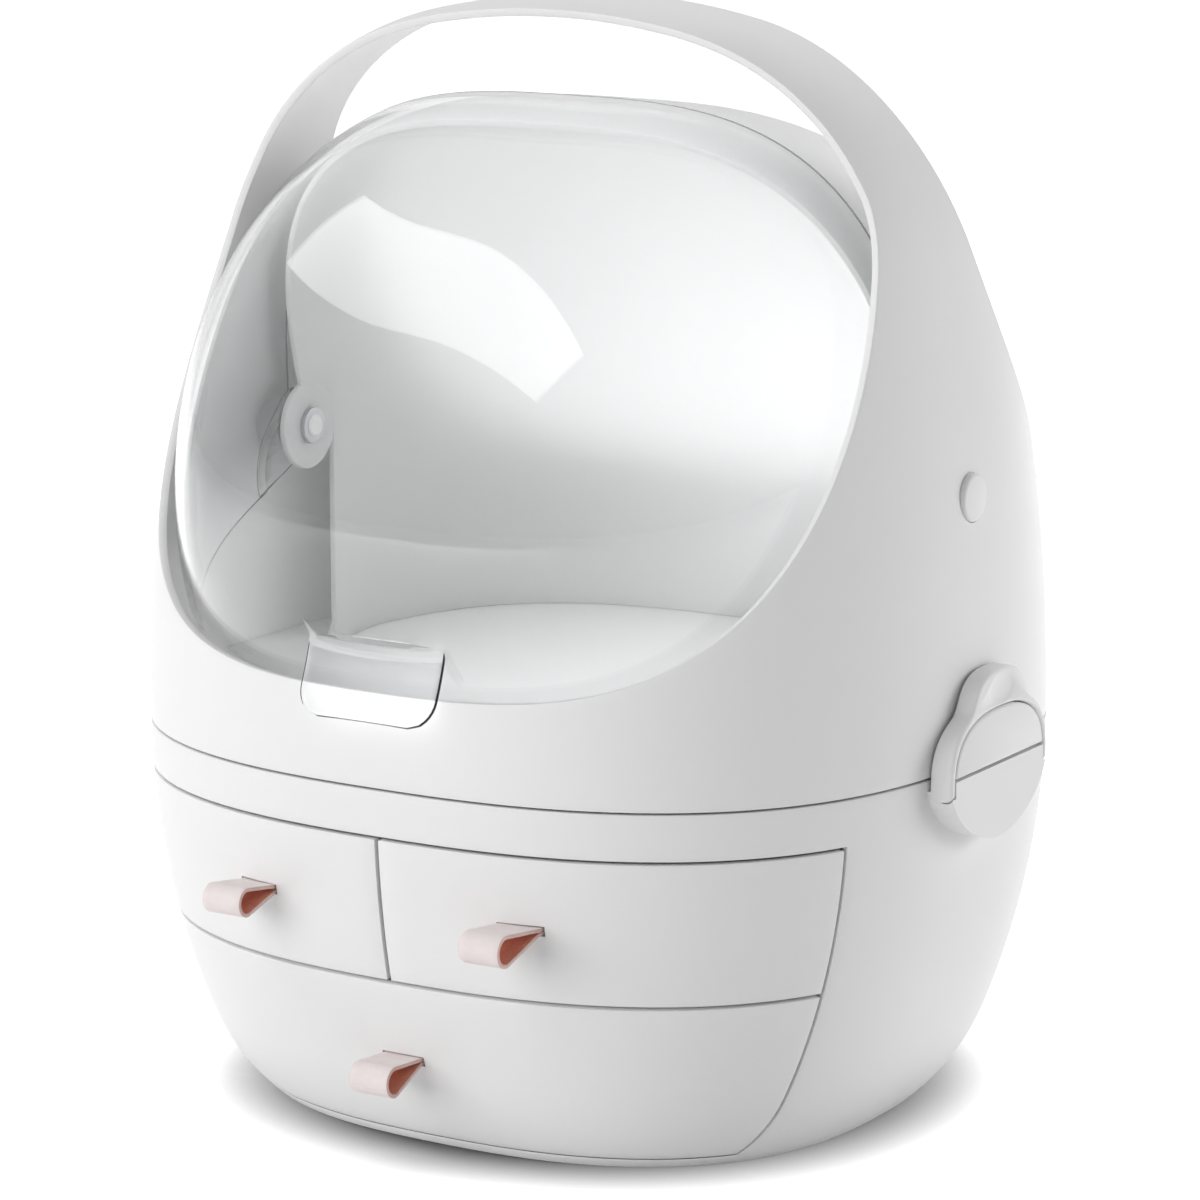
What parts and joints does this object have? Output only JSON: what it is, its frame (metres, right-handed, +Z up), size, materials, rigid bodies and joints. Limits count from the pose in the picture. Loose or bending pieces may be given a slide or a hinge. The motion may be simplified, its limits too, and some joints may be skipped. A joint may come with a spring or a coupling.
{
  "type": "makeup organizer",
  "caption": "Egg-shaped makeup organizer with a clear hinged lid, a carry strap over it, side latches and drawers with loop pulls.",
  "frame": {"origin": "centre of the base's underside, on the surface it stands on", "axes": "+Z up, the drawers open towards -Y, +X to the right as seen from behind the front (mirror plane X = 0)"},
  "size_m": [0.315, 0.3021, 0.3813],
  "materials": {
    "white_plastic": "satin",
    "inner_plastic": "satin",
    "clear_plastic": "clear",
    "pink_leather": "smooth",
    "dark_rubber": "matte",
    "steel": "plain"
  },
  "bodies": {
    "organizer": {"base_shell": "white_plastic", "drawer_chassis": "inner_plastic", "deck_panel": "inner_plastic", "rubber_feet": "dark_rubber", "chassis_screws": "steel", "upper_shell": "white_plastic", "compartment_floor": "inner_plastic", "rear_dome": "white_plastic", "pivot_pin_left": "white_plastic", "pivot_pin_right": "white_plastic", "pivot_clips": "steel", "latch_pins_left": "steel", "latch_pins_right": "steel"},
    "lid": {"clear_lid": "clear_plastic"},
    "drawer_left": {"tray_left": "inner_plastic", "front_left": "white_plastic", "pull_left": "pink_leather", "pull_bar_left": "inner_plastic"},
    "drawer_right": {"tray_right": "inner_plastic", "front_right": "white_plastic", "pull_right": "pink_leather", "pull_bar_right": "inner_plastic"},
    "drawer_lower": {"tray_lower": "inner_plastic", "front_lower": "white_plastic", "pull_lower": "pink_leather", "pull_bar_lower": "inner_plastic"},
    "latch_left": {"latch_hoop_left": "white_plastic"},
    "latch_right": {"latch_hoop_right": "white_plastic"}
  },
  "joints": [
    {"name": "lid_hinge", "type": "hinge", "parent": "organizer", "child": "lid", "pos_m": [0, 0, 0.221], "axis": [-1, 0, 0], "range_deg": [0, 95]},
    {"name": "drawer_left_slide", "type": "slide", "parent": "organizer", "child": "drawer_left", "axis": [0, -1, 0], "range_m": [0, 0.13]},
    {"name": "drawer_right_slide", "type": "slide", "parent": "organizer", "child": "drawer_right", "axis": [0, -1, 0], "range_m": [0, 0.13]},
    {"name": "drawer_lower_slide", "type": "slide", "parent": "organizer", "child": "drawer_lower", "axis": [0, -1, 0], "range_m": [0, 0.11]},
    {"name": "latch_left_hinge", "type": "hinge", "parent": "organizer", "child": "latch_left", "pos_m": [-0.15425, 0, 0.128], "axis": [0, -1, 0], "range_deg": [0, 95]},
    {"name": "latch_right_hinge", "type": "hinge", "parent": "organizer", "child": "latch_right", "pos_m": [0.15425, 0, 0.128], "axis": [0, 1, 0], "range_deg": [0, 95]}
  ]
}
